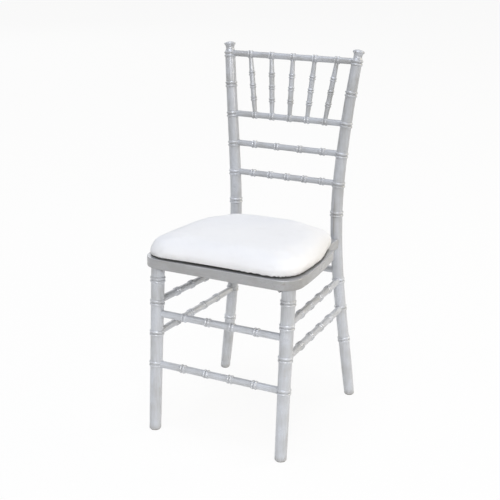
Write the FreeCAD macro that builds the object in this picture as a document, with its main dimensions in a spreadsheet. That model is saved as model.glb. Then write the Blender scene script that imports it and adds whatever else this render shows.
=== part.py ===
"""Chiavari chair in turned wood with a loose seat cushion.

The chair stands on z = 0 and faces -Y, and +X is the sitter's left.
The origin lies on the floor, in the middle of the chair's width and depth.
"""
import FreeCAD
import Part
import math
import os
from FreeCAD import Placement, Rotation, Vector

doc = FreeCAD.newDocument("chiavari_chair")

# Driving dimensions in millimetres, and angles in degrees.
dimensions = {
    # front legs
    "foot_gap": 403.0,
    "front_leg_inset": 30.0,
    "front_leg_lean_angle": 4.8,
    "front_leg_top_diameter": 33.4,
    "front_leg_calf_diameter": 31.1,
    "front_leg_foot_diameter": 29.6,
    "leg_tenon_diameter": 20.0,
    "leg_tenon_length": 16.0,
    # back posts
    "post_foot_half_spacing": 190.5,
    "post_calf_half_spacing": 161.0,
    "post_waist_half_spacing": 145.2,
    "post_back_half_spacing": 156.2,
    "post_top_half_spacing": 178.2,
    "post_calf_setback": -7.5,
    "post_waist_setback": -14.5,
    "post_back_setback": -6.5,
    "post_top_setback": 18.0,
    "post_calf_height": 250.0,
    "post_waist_height": 500.0,
    "post_back_height": 700.0,
    "post_top_rise": 24.0,
    "post_foot_diameter": 26.4,
    "post_calf_diameter": 28.6,
    "post_waist_diameter": 31.0,
    "post_top_diameter": 26.4,
    "neck_diameter": 21.6,
    "neck_height": 11.5,
    "knob_diameter": 29.8,
    "knob_flare_height": 3.0,
    "knob_rim_height": 6.5,
    "knob_rim_bulge": 2.2,
    "knob_dome_height": 2.5,
    # turned double rings
    "bead_width": 7.2,
    "bead_rise": 2.2,
    "bead_pair_gap": 8.2,
    "ring_length": 17.0,
    "top_ring_height": 888.0,
    "back_ring_pitch": 76.4,
    "leg_ring_top_height": 391.0,
    "leg_ring_upper_height": 333.0,
    "leg_ring_lower_height": 254.5,
    "leg_ring_bottom_height": 174.5,
    "post_ring_upper_height": 324.0,
    "post_ring_lower_height": 248.0,
    "post_ring_bottom_height": 159.0,
    # rails between the back posts
    "rail_diameter": 15.6,
    "rail_rise_over_ring": 2.6,
    "crest_bead_pitch": 60.0,
    "spindle_rail_bead_pitch": 49.0,
    "upper_back_rail_bead_pitch": 64.0,
    "lower_back_rail_bead_pitch": 48.8,
    "back_turning_shift": 3.8,
    # spindles
    "spindle_middle_diameter": 13.4,
    "spindle_end_diameter": 10.2,
    "spindle_bead_pitch": 32.2,
    "spindle_bead_drop": 2.7,
    "spindle_bead_rise": 1.8,
    "spindle_bead_gap": 6.4,
    "spindle_bead_width": 5.6,
    # stretchers
    "stretcher_diameter": 17.6,
    "stretcher_bead_pitch": 65.3,
    "front_stretcher_upper_height": 305.0,
    "front_stretcher_lower_height": 174.0,
    "side_stretcher_upper_front_height": 335.0,
    "side_stretcher_upper_rear_height": 324.0,
    "side_stretcher_lower_front_height": 253.0,
    "side_stretcher_lower_rear_height": 247.0,
    "rear_stretcher_height": 352.0,
    # glued joints
    "socket_depth": 10.0,
    "spindle_socket_depth": 6.0,
    "joint_clearance": 0.1,
    # seat frame, measured in its own slightly tilted plane
    "seat_front_overhang": 37.6,
    "seat_front_height": 453.0,
    "seat_slope_angle": 1.72,
    "seat_thickness": 24.5,
    "seat_front_half_width": 205.0,
    "seat_bulge": 3.1,
    "seat_shoulder_half_width": 185.5,
    "seat_shoulder_depth": 274.0,
    "seat_shoulder_radius": 12.0,
    "seat_corner_radius": 48.0,
    "seat_edge_round": 2.0,
    "front_board_depth": 74.0,
    "side_board_width": 46.0,
    "tail_half_width": 157.0,
    "tail_entry": 4.0,
    "rear_board_width": 44.0,
    "panel_thickness": 6.0,
    "panel_ledge": 10.0,
    "panel_corner_radius": 6.0,
    "panel_clearance": 0.3,
    # glue blocks beside the front leg tops
    "glue_block_width": 11.0,
    "glue_block_foot_width": 3.0,
    "glue_block_height": 12.0,
    "glue_block_length": 24.0,
    # dowels, screws and brads
    "dowel_diameter": 8.0,
    "dowel_length": 36.0,
    "dowel_spacing": 24.0,
    "rear_dowel_spacing": 14.0,
    "rear_dowel_setback": 12.0,
    "post_dowel_diameter": 10.0,
    "post_dowel_length": 32.0,
    "screw_shank_diameter": 3.5,
    "screw_head_diameter": 7.0,
    "screw_length": 18.0,
    "brad_diameter": 1.6,
    "brad_head_diameter": 3.0,
    "brad_head_thickness": 0.8,
    "brad_length": 14.0,
    # foot glides
    "glide_thickness": 3.0,
    "glide_inset": 1.6,
    "glide_round": 1.2,
    "glide_nail_diameter": 2.6,
    "glide_nail_length": 16.0,
    # hook and loop tape
    "tape_width": 25.0,
    "tape_length": 210.0,
    "tape_thickness": 1.5,
    "tape_gap": 0.3,
    "tape_half_spacing": 105.0,
    # cushion, measured in the plane of the seat
    "cushion_front_margin": 7.0,
    "cushion_rear_margin": 15.0,
    "cushion_half_width": 192.5,
    "cushion_rear_half_width": 150.0,
    "cushion_front_corner_radius": 60.0,
    "cushion_rear_corner_radius": 32.0,
    "cushion_straight_length": 28.0,
    "cushion_crown_height": 57.0,
    "cushion_crown_radius": 2200.0,
    "cushion_shoulder_round": 27.0,
    "cover_thickness": 1.2,
    "cover_lift": 2.2,
    "board_thickness": 9.0,
    "board_clearance": 0.3,
    "dust_cloth_thickness": 0.8,
    "dust_cloth_inset": 6.0,
}

sheet = doc.addObject("Spreadsheet::Sheet", "sizes")
for row, (alias, value) in enumerate(dimensions.items(), start=1):
    sheet.set(f"A{row}", alias)
    sheet.set(f"B{row}", str(value))
    sheet.setAlias(f"B{row}", alias)
doc.recompute()


def size(alias):
    """Value of a driving dimension in the sheet."""
    return float(sheet.get(alias))


def bind(item, **formulas):
    """Bind properties of an object to formulas on the driving dimensions."""
    for prop, formula in formulas.items():
        item.setExpression(prop, formula)
    return item


UP = Vector(0, 0, 1)
ACROSS = Vector(1, 0, 0)
BACK = Vector(0, 1, 0)


def along(start, direction):
    """Placement at start whose own z axis runs along direction."""
    return Placement(start, Rotation(UP, direction))


# Centre lines of the legs and posts

# The depth runs from the front foot's rim to the back of the knob.
front_rim = -size("foot_gap") / 2 - size("front_leg_foot_diameter") / 2
knob_rim = size("foot_gap") / 2 + size("post_top_setback") + size("knob_diameter") / 2
depth_middle = (front_rim + knob_rim) / 2
front_foot_y = -size("foot_gap") / 2 - depth_middle
rear_foot_y = size("foot_gap") / 2 - depth_middle

lean = math.radians(size("front_leg_lean_angle"))
leg_direction = Vector(0, math.sin(lean), math.cos(lean))


def leg_point(height):
    """Point of the right front leg's axis at a height."""
    across = size("seat_front_half_width") - size("front_leg_inset")
    return Vector(across, front_foot_y + height * math.tan(lean), height)


def post_station(name, height):
    """Named point that the bent post's axis passes through."""
    setback = 0.0 if name == "foot" else size(f"post_{name}_setback")
    return Vector(size(f"post_{name}_half_spacing"), rear_foot_y + setback, height)


post_curve = Part.BSplineCurve()
post_curve.interpolate([
    post_station("foot", 0.0),
    post_station("calf", size("post_calf_height")),
    post_station("waist", size("post_waist_height")),
    post_station("back", size("post_back_height")),
    post_station("top", size("top_ring_height") + size("post_top_rise")),
])


def post_parameter(height):
    """Parameter of the post's curve at a height, by halving the interval."""
    low = post_curve.FirstParameter
    high = post_curve.LastParameter
    for _ in range(40):
        middle = (low + high) / 2
        if post_curve.value(middle).z < height:
            low = middle
        else:
            high = middle
    return (low + high) / 2


def post_point(height):
    """Point of the right back post's axis at a height."""
    return post_curve.value(post_parameter(height))


def post_direction(height):
    """Upward direction of the right back post's axis at a height."""
    return Vector(*post_curve.tangent(post_parameter(height))[0])


def mirrored(point):
    """The same point on the other side of the chair."""
    return Vector(-point.x, point.y, point.z)


# Plane of the seat frame: its own x runs across, y runs back and z stands on it

seat_front_y = leg_point(size("seat_front_height")).y - size("seat_front_overhang")
seat_place = Placement(
    Vector(0, seat_front_y, size("seat_front_height")),
    Rotation(ACROSS, -size("seat_slope_angle")),
)


def seat_point(across, back, above):
    """Point given in the seat frame's own axes."""
    return seat_place.multVec(Vector(across, back, above))


def seat_depth_of(y):
    """Depth in the seat frame of a point of its top at a given y."""
    return (y - seat_front_y) / math.cos(math.radians(size("seat_slope_angle")))


# Shapes used by several pieces

def cylinder(name, start, direction, length, radius_formula):
    """Cylinder from a point along a direction, with its radius bound to the sheet."""
    item = doc.addObject("Part::Cylinder", name)
    item.Height = length
    bind(item, Radius=radius_formula)
    item.Placement = along(start, direction)
    return item


def cone(name, start, direction, length, first_formula, second_formula):
    """Truncated cone whose two radii are bound to the sheet."""
    item = doc.addObject("Part::Cone", name)
    item.Height = length
    bind(item, Radius1=first_formula, Radius2=second_formula)
    item.Placement = along(start, direction)
    return item


def bead_pair(name, centre, direction, radius, kind="bead"):
    """Two turned beads that stand out of a round piece of a given radius."""
    prefix = "" if kind == "bead" else "spindle_"
    width = size(f"{prefix}bead_width")
    rise = size(f"{prefix}bead_rise")
    gap = size("bead_pair_gap") if kind == "bead" else size("spindle_bead_gap")
    beads = []
    for side in (-1, 1):
        bead = doc.addObject("Part::Torus", f"{name}_bead")
        bead.Radius1 = radius + rise - width / 2
        bind(bead, Radius2=f"sizes.{prefix}bead_width / 2")
        bead.Placement = along(centre + direction * (side * gap / 2), direction)
        beads.append(bead)
    return beads


def line(first, second):
    """Straight edge between two points of an outline."""
    return Part.LineSegment(Vector(*first, 0), Vector(*second, 0))


def arc(first, middle, last):
    """Round edge through three points of an outline."""
    return Part.Arc(Vector(*first, 0), Vector(*middle, 0), Vector(*last, 0))


def joined(name, pieces):
    """One solid made of several overlapping ones."""
    item = doc.addObject("Part::MultiFuse", name)
    item.Shapes = pieces
    return item


def cut(name, base, tools):
    """A piece with one or more tools cut out of it."""
    item = doc.addObject("Part::Cut", name)
    item.Base = base
    item.Tool = tools[0] if len(tools) == 1 else joined(f"{name}_tools", tools)
    return item


def mirror_piece(name, source):
    """The same piece for the other side of the chair."""
    item = doc.addObject("Part::Mirroring", name)
    item.Source = source
    item.Normal = ACROSS
    return item


def rod(name, start, end, diameter_name, bead_places):
    """Turned rod between two points, with bead pairs at distances from its middle."""
    direction = (end - start).normalize()
    middle = (start + end) * 0.5
    radius = size(diameter_name) / 2
    length = (end - start).Length
    pieces = [cylinder(f"{name}_shaft", start, direction, length, f"sizes.{diameter_name} / 2")]
    for place in bead_places:
        pieces += bead_pair(name, middle + direction * place, direction, radius)
    return joined(name, pieces)


def socket(name, tip, direction, diameter_name, length):
    """Cutter for the round hole that a rod's end sits in, with its clearance."""
    clearance = size("joint_clearance")
    return cylinder(
        name, tip - direction * clearance, direction, length + clearance,
        f"sizes.{diameter_name} / 2 + sizes.joint_clearance",
    )


def even_places(count, pitch, shift=0.0):
    """Evenly spaced distances about a middle point, which may be shifted."""
    return [shift + pitch * (index - (count - 1) / 2) for index in range(count)]


nodes = {}


def keep(item):
    """Register a finished sub-part under its own label."""
    item.Label = item.Name
    nodes[item.Name] = item
    return item


# Back post: one bent turning with double rings, a neck and a flat round knob

ring_heights = [size("top_ring_height") - size("back_ring_pitch") * index for index in range(6)]
ring_heights += [size(f"post_ring_{name}_height") for name in ("upper", "lower", "bottom")]

post_profile = [
    (size("glide_thickness"), "post_foot_diameter"),
    (size("post_ring_bottom_height") / 2, "post_calf_diameter"),
    (size("post_calf_height"), "post_calf_diameter"),
    (size("seat_front_height"), "post_waist_diameter"),
    (size("top_ring_height"), "post_top_diameter"),
]


def post_radius(height):
    """Radius of the post at a height, tapering evenly between its named diameters."""
    for (low, low_name), (high, high_name) in zip(post_profile, post_profile[1:]):
        if height <= high:
            share = max(0.0, (height - low) / (high - low))
            return (size(low_name) * (1 - share) + size(high_name) * share) / 2
    return size(post_profile[-1][1]) / 2


def post_ring_end(height, side):
    """End of the short straight length that carries the rings at a height."""
    return post_point(height) + post_direction(height) * (side * size("ring_length") / 2)


def post_section(point, direction, radius):
    """Circle around the post's axis that a stretch of it is lofted through."""
    circle = doc.addObject("Part::Circle", "post_section")
    circle.Radius = radius
    circle.Placement = along(point, direction)
    return circle


def post_stretch(lower_section, upper_section, low, high, allowance=0.0):
    """Bent stretch of the post between two sections, through one more at its middle."""
    middle = (low + high) / 2
    stretch = doc.addObject("Part::Loft", "post_stretch")
    stretch.Sections = [
        lower_section,
        post_section(post_point(middle), post_direction(middle), post_radius(middle) + allowance),
        upper_section,
    ]
    stretch.Solid = True
    return stretch


def turned_finial():
    """Hollowed neck with a flat round knob, turned from a half outline."""
    body = doc.addObject("PartDesign::Body", "finial")
    sketch = body.newObject("Sketcher::SketchObject", "finial_outline")
    plane = [item for item in body.Origin.OriginFeatures if item.Role == "XZ_Plane"][0]
    sketch.AttachmentSupport = [(plane, "")]
    sketch.MapMode = "FlatFace"
    base = size("post_top_diameter") / 2
    neck = size("neck_diameter") / 2
    rim = size("knob_diameter") / 2
    rim_edge = rim - size("knob_rim_bulge")
    flare_start = (neck + size("knob_flare_height") / 4, size("neck_height"))
    rim_start = (rim_edge, size("neck_height") + size("knob_flare_height"))
    rim_end = (rim_edge, rim_start[1] + size("knob_rim_height"))
    dome_height = size("knob_dome_height")
    dome_radius = (rim_edge ** 2 + dome_height ** 2) / (2 * dome_height)
    half_turn = math.asin(rim_edge / dome_radius) / 2
    top = rim_end[1] + dome_height
    dome_middle = (dome_radius * math.sin(half_turn), top - dome_radius * (1 - math.cos(half_turn)))
    sketch.addGeometry([
        line((0, 0), (base, 0)),
        arc((base, 0), (neck, size("neck_height") / 2), flare_start),
        line(flare_start, rim_start),
        arc(rim_start, (rim, (rim_start[1] + rim_end[1]) / 2), rim_end),
        arc(rim_end, dome_middle, (0, top)),
        line((0, top), (0, 0)),
    ], False)
    doc.recompute()
    turning = body.newObject("PartDesign::Revolution", "finial_revolution")
    turning.Profile = sketch
    turning.ReferenceAxis = (sketch, ["V_Axis"])
    turning.Angle = 360.0
    doc.recompute()
    return body


def build_post():
    """Post made of bent stretches between its rings, with a neck and a knob on top."""
    pieces = []
    foot = size("glide_thickness")
    below = foot
    lower = post_section(post_point(foot), UP, post_radius(foot))
    for height in sorted(ring_heights):
        direction = post_direction(height)
        radius = post_radius(height)
        ring_start = post_ring_end(height, -1)
        pieces.append(post_stretch(lower, post_section(ring_start, direction, radius), below, ring_start.z))
        ring = doc.addObject("Part::Cylinder", "post_ring")
        ring.Radius = radius
        bind(ring, Height="sizes.ring_length")
        ring.Placement = along(ring_start, direction)
        pieces.append(ring)
        pieces += bead_pair("post", post_point(height), direction, radius)
        ring_end = post_ring_end(height, 1)
        lower = post_section(ring_end, direction, radius)
        below = ring_end.z
    finial = turned_finial()
    top_ring = size("top_ring_height")
    finial.Placement = along(post_ring_end(top_ring, 1), post_direction(top_ring))
    pieces.append(finial)
    return joined("post_turning", pieces)


# Rods: each end goes into its post or leg by the socket depth

def leg_radius(height):
    """Radius of the front leg at a height."""
    calf = size("leg_ring_bottom_height")
    top = size("leg_ring_top_height")
    if height < calf:
        share = height / calf
        return (size("front_leg_foot_diameter") * (1 - share) + size("front_leg_calf_diameter") * share) / 2
    share = min(1.0, (height - calf) / (top - calf))
    return (size("front_leg_calf_diameter") * (1 - share) + size("front_leg_top_diameter") * share) / 2


post_sockets = []
leg_sockets = []


def cross_rod(name, point, radius, diameter_name, bead_places, sockets):
    """Rod straight across the chair between two posts or legs, with its right socket."""
    reach = point.x - radius + size("socket_depth")
    right_end = Vector(reach, point.y, point.z)
    sockets.append(socket(f"{name}_socket", right_end, -ACROSS, diameter_name, 2 * size("socket_depth")))
    return rod(name, mirrored(right_end), right_end, diameter_name, bead_places)


def back_places(count, pitch_name):
    """Places across the back, where all turnings sit a little to the sitter's left."""
    return even_places(count, size(pitch_name), size("back_turning_shift"))


def back_rail(name, ring_index, bead_places):
    """Turned rail between the back posts, just over one of their rings."""
    height = ring_heights[ring_index] + size("rail_rise_over_ring")
    return cross_rod(
        name, post_point(height), post_radius(height), "rail_diameter", bead_places, post_sockets,
    )


spindle_tops = back_places(5, "crest_bead_pitch")
spindle_bottoms = back_places(5, "spindle_rail_bead_pitch")
crest_turning = back_rail("crest_turning", 0, spindle_tops)
spindle_rail_turning = back_rail("spindle_rail_turning", 2, spindle_bottoms)
keep(back_rail("back_rail_upper", 3, back_places(4, "upper_back_rail_bead_pitch")))
keep(back_rail("back_rail_lower", 4, back_places(5, "lower_back_rail_bead_pitch")))


def front_stretcher(name, height):
    """Stretcher between the front legs."""
    return keep(cross_rod(
        name, leg_point(height), leg_radius(height), "stretcher_diameter",
        even_places(4, size("stretcher_bead_pitch")), leg_sockets,
    ))


front_stretcher("front_stretcher_upper", size("front_stretcher_upper_height"))
front_stretcher("front_stretcher_lower", size("front_stretcher_lower_height"))

rear_height = size("rear_stretcher_height")
keep(cross_rod(
    "rear_stretcher", post_point(rear_height), post_radius(rear_height), "stretcher_diameter",
    even_places(4, size("stretcher_bead_pitch")), post_sockets,
))


def side_stretcher(level):
    """Right stretcher from the front leg to the back post, with both of its sockets."""
    front = leg_point(size(f"side_stretcher_{level}_front_height"))
    rear = post_point(size(f"side_stretcher_{level}_rear_height"))
    direction = (rear - front).normalize()
    depth = size("socket_depth")
    start = front + direction * (leg_radius(front.z) - depth)
    end = rear - direction * (post_radius(rear.z) - depth)
    name = f"side_stretcher_{level}"
    leg_sockets.append(socket(f"{name}_leg_socket", start, direction, "stretcher_diameter", 2 * depth))
    post_sockets.append(socket(f"{name}_post_socket", end, -direction, "stretcher_diameter", 2 * depth))
    beads = even_places(4, size("stretcher_bead_pitch"))
    return rod(f"{name}_turning", start, end, "stretcher_diameter", beads), end, direction


upper_side_turning, upper_side_end, upper_side_direction = side_stretcher("upper")
lower_side_turning, lower_side_end, lower_side_direction = side_stretcher("lower")


# Spindles: five fanned turnings, thickest in the middle, between crest and spindle rail

crest_axis = post_point(ring_heights[0] + size("rail_rise_over_ring"))
spindle_rail_axis = post_point(ring_heights[2] + size("rail_rise_over_ring"))
spindle_inset = size("rail_diameter") / 2 - size("spindle_socket_depth")
crest_sockets = []
spindle_rail_sockets = []
for number, (top_x, bottom_x) in enumerate(zip(spindle_tops, spindle_bottoms), start=1):
    top_axis = Vector(top_x, crest_axis.y, crest_axis.z)
    bottom_axis = Vector(bottom_x, spindle_rail_axis.y, spindle_rail_axis.z)
    rise = (top_axis - bottom_axis).normalize()
    bottom = bottom_axis + rise * spindle_inset
    top = top_axis - rise * spindle_inset
    middle = (bottom + top) * 0.5 - rise * size("spindle_bead_drop")
    name = f"spindle_{number}"
    bead_reach = size("spindle_bead_pitch")
    radius = size("spindle_middle_diameter") / 2
    turnings = [cylinder(
        f"{name}_middle", middle - rise * bead_reach, rise, 2 * bead_reach,
        "sizes.spindle_middle_diameter / 2",
    )]
    for place in even_places(3, bead_reach):
        turnings += bead_pair(name, middle + rise * place, rise, radius, kind="spindle")
    socket_reach = 2 * size("spindle_socket_depth")
    narrow = "sizes.spindle_end_diameter / 2 + sizes.joint_clearance"
    swell = "(sizes.spindle_middle_diameter - sizes.spindle_end_diameter) / 2"
    for end, tip, inward, sockets in (
        ("foot", bottom, rise, spindle_rail_sockets),
        ("head", top, -rise, crest_sockets),
    ):
        taper_length = (middle - tip).Length - bead_reach
        turnings.append(cone(
            f"{name}_{end}", tip, inward, taper_length,
            "sizes.spindle_end_diameter / 2", "sizes.spindle_middle_diameter / 2",
        ))
        wide = f"{narrow} + {swell} * {socket_reach / taper_length}"
        socket_start = tip - inward * size("joint_clearance")
        sockets.append(cone(f"{name}_{end}_socket", socket_start, inward, socket_reach, narrow, wide))
    keep(joined(name, turnings))
keep(cut("crest_rail", crest_turning, crest_sockets))
keep(cut("spindle_rail", spindle_rail_turning, spindle_rail_sockets))


# Seat frame boards: padded outlines in the plane of the seat, hanging below its top

def seat_body(name, edges, length_formula, above=0.0, upward=False):
    """Board or pad with a closed outline of edges, padded in the plane of the seat."""
    body = doc.addObject("PartDesign::Body", name)
    sketch = body.newObject("Sketcher::SketchObject", f"{name}_outline")
    plane = [item for item in body.Origin.OriginFeatures if item.Role == "XY_Plane"][0]
    sketch.AttachmentSupport = [(plane, "")]
    sketch.MapMode = "FlatFace"
    sketch.AttachmentOffset = Placement(Vector(0, 0, above), Rotation())
    sketch.addGeometry(edges, False)
    doc.recompute()
    pad = body.newObject("PartDesign::Pad", f"{name}_pad")
    pad.Profile = sketch
    pad.Reversed = not upward
    bind(pad, Length=length_formula)
    body.Placement = seat_place
    doc.recompute()
    return body


def turned(point):
    """The same point of an outline on the other side of the middle."""
    return (-point[0], point[1])


def corner_arc(centre, radius, start_angle, end_angle):
    """Round edge about a centre, between two angles in degrees."""
    def at(angle):
        return (
            centre[0] + radius * math.cos(math.radians(angle)),
            centre[1] + radius * math.sin(math.radians(angle)),
        )
    return arc(at(start_angle), at((start_angle + end_angle) / 2), at(end_angle))


front_half = size("seat_front_half_width")
corner = size("seat_corner_radius")
board_joint = size("front_board_depth")
post_seat_height = seat_point(0, size("seat_shoulder_depth"), 0).z
post_at_seat = post_point(post_seat_height)
post_depth = seat_depth_of(post_at_seat.y)
seat_rear = post_depth - post_radius(post_seat_height) + size("tail_entry")
inner_front = front_half - size("side_board_width")
inner_rear = size("tail_half_width") - 2 * (size("tail_half_width") - post_at_seat.x)


def inner_edge(depth):
    """Half width of the frame's opening at a depth."""
    share = (depth - board_joint) / (seat_rear - board_joint)
    return inner_front + (inner_rear - inner_front) * share


def front_board_outline():
    """Front board: straight front, two round corners and a straight joint behind."""
    left = -front_half
    return [
        line((left + corner, 0), (front_half - corner, 0)),
        corner_arc((front_half - corner, corner), corner, -90, 0),
        line((front_half, corner), (front_half, board_joint)),
        line((front_half, board_joint), (left, board_joint)),
        line((left, board_joint), (left, corner)),
        corner_arc((left + corner, corner), corner, 180, 270),
    ]


def side_board_outline():
    """Right side board: bowed outer edge, round rear shoulder and a narrow tail."""
    shoulder = size("seat_shoulder_half_width")
    depth = size("seat_shoulder_depth")
    radius = size("seat_shoulder_radius")
    tail = size("tail_half_width")
    chord = math.hypot(front_half - shoulder, depth - board_joint)
    slant = math.atan2(front_half - shoulder, depth - board_joint)
    bulge = size("seat_bulge")
    bow = (
        (front_half + shoulder) / 2 + bulge * math.cos(slant),
        (board_joint + depth) / 2 + bulge * math.sin(slant),
    )
    end_slant = slant + 2 * math.atan(2 * bulge / chord)
    centre = (shoulder - radius * math.cos(end_slant), depth - radius * math.sin(end_slant))
    shoulder_rear = centre[1] + radius
    inner_corner = radius / 2
    return [
        line((inner_edge(board_joint), board_joint), (front_half, board_joint)),
        arc((front_half, board_joint), bow, (shoulder, depth)),
        corner_arc(centre, radius, math.degrees(end_slant), 90),
        line((centre[0], shoulder_rear), (tail + inner_corner, shoulder_rear)),
        corner_arc((tail + inner_corner, shoulder_rear + inner_corner), inner_corner, 270, 180),
        line((tail, shoulder_rear + inner_corner), (tail, seat_rear)),
        line((tail, seat_rear), (inner_edge(seat_rear), seat_rear)),
        line((inner_edge(seat_rear), seat_rear), (inner_edge(board_joint), board_joint)),
    ]


rear_board_front = seat_rear - size("rear_board_width")


def rear_board_outline():
    """Rear board between the two side boards."""
    wide = inner_edge(rear_board_front)
    narrow = inner_edge(seat_rear)
    return [
        line((-wide, rear_board_front), (wide, rear_board_front)),
        line((wide, rear_board_front), (narrow, seat_rear)),
        line((narrow, seat_rear), (-narrow, seat_rear)),
        line((-narrow, seat_rear), (-wide, rear_board_front)),
    ]


def panel_outline(clearance):
    """Seat panel with round corners, resting on a ledge all round."""
    ledge = size("panel_ledge") + clearance
    radius = size("panel_corner_radius") + clearance
    front = board_joint - ledge
    rear = rear_board_front + ledge
    front_side = inner_edge(front) + ledge
    rear_side = inner_edge(rear) + ledge
    slant = math.degrees(math.atan((front_side - rear_side) / (rear - front)))
    front_inset = radius * math.tan(math.radians((90 + slant) / 2))
    rear_inset = radius * math.tan(math.radians((90 - slant) / 2))
    along_x = math.sin(math.radians(slant))
    along_y = math.cos(math.radians(slant))
    bottom = (front_side - front_inset * along_x, front + front_inset * along_y)
    top = (rear_side + rear_inset * along_x, rear - rear_inset * along_y)
    front_centre = (front_side - front_inset, front + radius)
    rear_centre = (rear_side - rear_inset, rear - radius)

    return [
        line((-front_centre[0], front), (front_centre[0], front)),
        corner_arc(front_centre, radius, -90, slant),
        line(bottom, top),
        corner_arc(rear_centre, radius, slant, 90),
        line((rear_centre[0], rear), (-rear_centre[0], rear)),
        corner_arc(turned(rear_centre), radius, 90, 180 - slant),
        line(turned(top), turned(bottom)),
        corner_arc(turned(front_centre), radius, 180 - slant, 270),
    ]


# Dowels that pin the seat boards to each other and to the posts

def seat_dowels():
    """Two dowels across each of the four joints between the seat boards."""
    middle = -size("panel_thickness") - (size("seat_thickness") - size("panel_thickness")) / 2
    length = size("dowel_length")
    front_middle = (inner_front + front_half) / 2
    rear_middle = rear_board_front + size("rear_dowel_setback")
    backward = seat_place.Rotation.multVec(BACK)
    sideways = seat_place.Rotation.multVec(ACROSS)
    dowels = []
    for side in (-1, 1):
        for step in (-0.5, 0.5):
            across = front_middle + step * size("dowel_spacing")
            dowels.append((seat_point(side * across, board_joint - length / 2, middle), backward))
            depth = rear_middle + step * size("rear_dowel_spacing")
            start = seat_point(side * (inner_edge(rear_middle) - length / 2), depth, middle)
            dowels.append((start, sideways * side))
    return dowels


def dowel_solids(name, places, diameter_name, length, extra=0.0):
    """Round pins at a list of starts and directions, longer at both ends by extra."""
    radius_formula = f"sizes.{diameter_name} / 2 + {extra}"
    return [
        cylinder(name, start - direction * extra, direction, length + 2 * extra, radius_formula)
        for start, direction in places
    ]


def group(name, pieces):
    """Several separate solids kept under one name."""
    item = doc.addObject("Part::Compound", name)
    item.Links = pieces
    return keep(item)


clearance = size("joint_clearance")
dowel_places = seat_dowels()
group("seat_dowels", dowel_solids("seat_dowel", dowel_places, "dowel_diameter", size("dowel_length")))
dowel_holes = dowel_solids("dowel_hole", dowel_places, "dowel_diameter", size("dowel_length"), clearance)

post_dowel_start = seat_point(
    post_at_seat.x, seat_rear - size("post_dowel_length") / 2, -size("seat_thickness") * 0.6,
)
post_dowel_places = [
    (point, seat_place.Rotation.multVec(BACK)) for point in (post_dowel_start, mirrored(post_dowel_start))
]
group("post_dowels", dowel_solids(
    "post_dowel", post_dowel_places, "post_dowel_diameter", size("post_dowel_length"),
))
post_dowel_holes = dowel_solids(
    "post_dowel_hole", post_dowel_places, "post_dowel_diameter", size("post_dowel_length"), clearance,
)


# Front leg: straight turning on a leaning axis, cut level at the foot and along the seat above

def revolved_leg():
    """Round leg turned from a half outline about its own axis."""
    body = doc.addObject("PartDesign::Body", "leg_turning")
    sketch = body.newObject("Sketcher::SketchObject", "leg_outline")
    plane = [item for item in body.Origin.OriginFeatures if item.Role == "XZ_Plane"][0]
    sketch.AttachmentSupport = [(plane, "")]
    sketch.MapMode = "FlatFace"
    below = size("front_leg_foot_diameter")
    calf = size("leg_ring_bottom_height") / math.cos(lean)
    knee = size("leg_ring_top_height") / math.cos(lean)
    top = size("seat_front_height") / math.cos(lean)
    outline = [
        (0, -below), (size("front_leg_foot_diameter") / 2, -below),
        (size("front_leg_foot_diameter") / 2, 0), (size("front_leg_calf_diameter") / 2, calf),
        (size("front_leg_top_diameter") / 2, knee), (size("front_leg_top_diameter") / 2, top), (0, top),
    ]
    closed = outline + outline[:1]
    sketch.addGeometry([line(first, second) for first, second in zip(closed, closed[1:])], False)
    doc.recompute()
    turning = body.newObject("PartDesign::Revolution", "leg_revolution")
    turning.Profile = sketch
    turning.ReferenceAxis = (sketch, ["V_Axis"])
    turning.Angle = 360.0
    body.Placement = along(leg_point(0), leg_direction)
    doc.recompute()
    return body


def slab(name, place, height):
    """Large flat block used to cut the legs level."""
    reach = 2 * size("foot_gap")
    item = doc.addObject("Part::Box", name)
    item.Length = reach
    item.Width = reach
    item.Height = height
    item.Placement = place.multiply(Placement(Vector(-reach / 2, -reach / 2, 0), Rotation()))
    return item


leg_pieces = [revolved_leg()]
for ring_name in ("top", "upper", "lower", "bottom"):
    ring_height = size(f"leg_ring_{ring_name}_height")
    leg_pieces += bead_pair("leg", leg_point(ring_height), leg_direction, leg_radius(ring_height))
floor_slab = slab("floor_slab", Placement(Vector(0, 0, -size("foot_gap")), Rotation()),
                  size("foot_gap") + size("glide_thickness"))
under_seat = seat_place.multiply(Placement(Vector(0, 0, -size("seat_thickness")), Rotation()))
seat_slab = slab("seat_slab", under_seat, 4 * size("seat_thickness"))
leg_shaft = cut("leg_shaft", joined("leg_turned", leg_pieces), [floor_slab, seat_slab])

# The leg's axis meets the underside of the seat at the foot of its tenon.
leg_point_at_seat = leg_point(size("seat_front_height") - size("seat_thickness"))
seat_normal = seat_place.Rotation.multVec(UP)
offset_to_seat = (seat_point(0, 0, -size("seat_thickness")) - leg_point_at_seat).dot(seat_normal)
tenon_foot = leg_point_at_seat + leg_direction * (offset_to_seat / leg_direction.dot(seat_normal))
tenon_root = tenon_foot - leg_direction * size("leg_tenon_diameter")
tenon_reach = size("leg_tenon_length") + size("leg_tenon_diameter")
leg_tenon = cylinder("leg_tenon", tenon_root, leg_direction, tenon_reach, "sizes.leg_tenon_diameter / 2")
tenon_holes = [
    cylinder("leg_tenon_hole", point, leg_direction, tenon_reach + clearance,
             "sizes.leg_tenon_diameter / 2 + sizes.joint_clearance")
    for point in (tenon_root, mirrored(tenon_root))
]


# Foot glides: flat plastic discs nailed under each foot

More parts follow.
